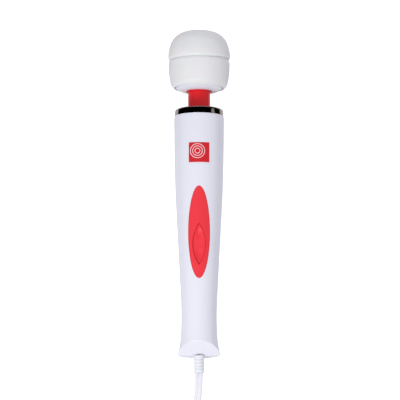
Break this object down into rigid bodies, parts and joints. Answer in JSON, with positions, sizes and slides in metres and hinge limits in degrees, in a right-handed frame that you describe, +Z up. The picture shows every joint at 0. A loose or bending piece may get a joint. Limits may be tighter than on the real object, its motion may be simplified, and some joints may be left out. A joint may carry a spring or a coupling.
{
  "type": "handheld wand massager",
  "caption": "Corded wand massager with a round soft head on a flexible neck, a tapered hard-shell handle, a rocker switch, a strain relief and a coiled supply cord with a two-blade plug.",
  "frame": {"origin": "bottom centre of the object's box without its free cord, as it lies on its back on a surface", "axes": "+Y along the wand from the cord end to the head, +Z up, the switch side facing up, +X to the right seen from above with the head away from the viewer"},
  "size_m": [0.0816, 0.5523, 0.0604],
  "materials": {
    "white_abs": "gloss moulded ABS",
    "coral_abs": "satin moulded ABS",
    "black_abs": "moulded",
    "grey_abs": "moulded",
    "dark_chrome": "polished black chrome plate",
    "white_silicone": "satin soft touch",
    "red_silicone": "satin",
    "grey_rubber": "moulded",
    "red_label": "printed film",
    "silver_label": "printed film",
    "zinc_steel": "zinc plated",
    "bearing_steel": "ground",
    "spring_steel": "oiled",
    "cast_weight": "cast",
    "bronze": "sintered",
    "copper": "enamelled wire",
    "carbon": "moulded",
    "ferrite": "sintered",
    "circuit_board": "solder mask",
    "yellow_epoxy": "cast epoxy",
    "ceramic": "glazed",
    "lead_pvc": "extruded",
    "white_pvc": "extruded and moulded PVC",
    "tie_nylon": "woven hook and loop",
    "brass_blade": "nickel-free brass"
  },
  "bodies": {
    "handle": {"front_shell": "white_abs", "rear_shell": "white_abs", "shell_screws": "zinc_steel", "collar_ring": "dark_chrome", "collar_plate": "black_abs", "switch_panel": "coral_abs", "badge_plate": "red_label", "rating_plate": "silver_label", "motor_can": "zinc_steel", "motor_front_bearing": "bronze", "motor_rear_bearing": "bronze", "motor_end_bell": "black_abs", "motor_terminals": "bronze", "motor_brushes": "carbon", "motor_magnets": "ferrite", "motor_mount_rings": "grey_rubber", "control_board": "circuit_board", "board_screws": "zinc_steel", "film_capacitor": "yellow_epoxy", "rectifier_diodes": "carbon", "dropper_resistor": "ceramic", "choke_coil": "copper", "triac": "carbon", "switch_housing": "black_abs", "supply_leads": "lead_pvc", "motor_leads": "lead_pvc", "strain_relief": "white_pvc", "cord_inner_run": "white_pvc", "cord_clamp": "black_abs", "clamp_screws": "zinc_steel", "cord_tube": "white_pvc", "cord_tail": "white_pvc", "cord_coil": "white_pvc", "cord_tie": "tie_nylon", "plug_body": "white_pvc", "plug_blades": "brass_blade"},
    "neck": {"neck_boot": "red_silicone"},
    "drive_spring": {"coupling_spring": "spring_steel"},
    "head": {"head_cover": "white_silicone", "head_core_lower": "grey_abs", "head_core_upper": "grey_abs", "head_core_screws": "zinc_steel", "head_base_plate": "white_abs", "head_base_screws": "zinc_steel", "head_lower_bearing": "bearing_steel", "head_upper_bearing": "bearing_steel"},
    "eccentric": {"head_shaft": "bearing_steel", "eccentric_weight": "cast_weight", "weight_set_screw": "zinc_steel", "coupling_upper_hub": "bronze"},
    "rotor": {"motor_shaft": "bearing_steel", "rotor_core": "ferrite", "rotor_windings": "copper", "commutator": "copper", "coupling_lower_hub": "bronze"},
    "rocker": {"switch_rocker": "coral_abs"},
    "slider": {"switch_slider": "grey_abs"}
  },
  "joints": [
    {"name": "neck_bend_fore_aft", "type": "hinge", "parent": "handle", "child": "neck", "pos_m": [0, 0.09491, 0.02865], "axis": [1, 0, 0], "range_deg": [-15, 15], "stiffness_Nm_per_rad": 3, "deforming": ["neck_boot", "coupling_spring"]},
    {"name": "neck_bend_side", "type": "hinge", "parent": "neck", "child": "head", "pos_m": [0, 0.1029, 0.02891], "axis": [0, -0.0325, 0.9995], "range_deg": [-15, 15], "stiffness_Nm_per_rad": 3},
    {"name": "motor_spin", "type": "hinge", "parent": "handle", "child": "rotor", "pos_m": [0, 0.02894, 0.0265], "axis": [0, 0.9995, 0.0325], "continuous": true},
    {"name": "drive_spring_spin", "type": "hinge", "parent": "neck", "child": "drive_spring", "pos_m": [0, 0.09291, 0.02858], "axis": [0, 0.9995, 0.0325], "continuous": true},
    {"name": "weight_spin", "type": "hinge", "parent": "head", "child": "eccentric", "pos_m": [0, 0.13489, 0.02995], "axis": [0, 0.9995, 0.0325], "continuous": true},
    {"name": "rocker_tilt", "type": "hinge", "parent": "handle", "child": "rocker", "pos_m": [0, -0.04526, 0.03769], "axis": [1, 0, 0], "range_deg": [-6, 6]},
    {"name": "slider_travel", "type": "slide", "parent": "handle", "child": "slider", "axis": [0, 0.9995, 0.0325], "range_m": [-0.00095, 0.00095]}
  ],
  "couplings": [
    {"joint": "drive_spring_spin", "follows": "motor_spin", "ratio": 1},
    {"joint": "weight_spin", "follows": "motor_spin", "ratio": 1},
    {"joint": "slider_travel", "follows": "rocker_tilt", "m_per_rad": 0.0088}
  ]
}
